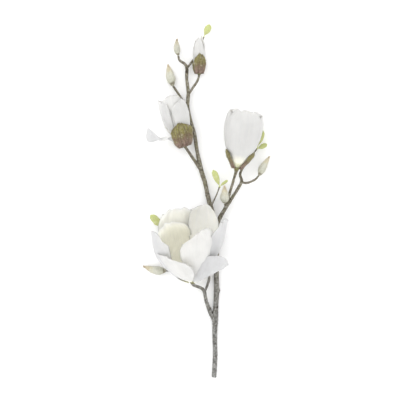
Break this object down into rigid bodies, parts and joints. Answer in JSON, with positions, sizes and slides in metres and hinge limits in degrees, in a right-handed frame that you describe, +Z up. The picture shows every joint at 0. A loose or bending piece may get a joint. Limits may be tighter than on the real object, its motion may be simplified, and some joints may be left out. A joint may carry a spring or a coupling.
{
  "type": "magnolia branch",
  "caption": "Cut magnolia branch lying flat: a forked woody stem with an open white flower, a goblet-shaped one, a half-open one, a furled one, downy buds and small leaves.",
  "frame": {"origin": "middle of the lying branch's footprint, on the surface it lies on", "axes": "+Z up from the surface, +Y along the branch from its cut end to its tip, +X to the right seen from above with the tip away from you"},
  "size_m": [0.2234, 0.6233, 0.1177],
  "materials": {
    "bark": "rough grey-brown bark with pale fissures and lenticels",
    "petal": "soft translucent white, cream inside, yellow-green at the foot",
    "bract": "velvety olive to mauve-brown",
    "down": "silky pale grey-green down with a tan tip",
    "leaf": "satin yellow-green, veined",
    "cone": "matte yellow-green carpels"
  },
  "bodies": {
    "root": {"main_stem": "bark", "lower_shoot": "bark", "lower_spur": "bark", "left_bud_twig": "bark", "right_shoot": "bark", "right_bud_twig": "bark", "goblet_flower_stalk": "bark", "middle_bud_twig": "bark", "middle_leaf_twig": "bark", "half_open_flower_stalk": "bark", "upper_bud_twig": "bark", "top_flower_stalk": "bark", "top_leaf_twig": "bark", "open_flower_petal_1": "petal", "open_flower_petal_2": "petal", "open_flower_petal_3": "petal", "open_flower_petal_4": "petal", "open_flower_petal_5": "petal", "open_flower_petal_6": "petal", "open_flower_petal_7": "petal", "open_flower_petal_8": "petal", "open_flower_petal_9": "petal", "goblet_flower_petal_1": "petal", "goblet_flower_petal_2": "petal", "goblet_flower_petal_3": "petal", "goblet_flower_petal_4": "petal", "goblet_flower_petal_5": "petal", "goblet_flower_petal_6": "petal", "goblet_flower_bract_1": "bract", "goblet_flower_bract_2": "bract", "half_open_flower_petal_1": "petal", "half_open_flower_petal_2": "petal", "half_open_flower_petal_3": "petal", "half_open_flower_petal_4": "petal", "half_open_flower_petal_5": "petal", "half_open_flower_petal_6": "petal", "half_open_flower_bract_1": "bract", "half_open_flower_bract_2": "bract", "top_flower_petal_1": "petal", "top_flower_petal_2": "petal", "top_flower_petal_3": "petal", "top_flower_bract_1": "bract", "top_flower_bract_2": "bract", "open_flower_cone": "cone", "goblet_flower_cone": "cone", "half_open_flower_cone": "cone", "left_bud": "down", "middle_bud": "down", "right_bud": "down", "upper_left_bud": "down", "top_bud": "down", "left_leaf": "leaf", "middle_leaf": "leaf", "middle_leaflet": "leaf", "right_leaf_upper": "leaf", "right_leaf_lower": "leaf", "top_leaf": "leaf"}
  },
  "joints": []
}
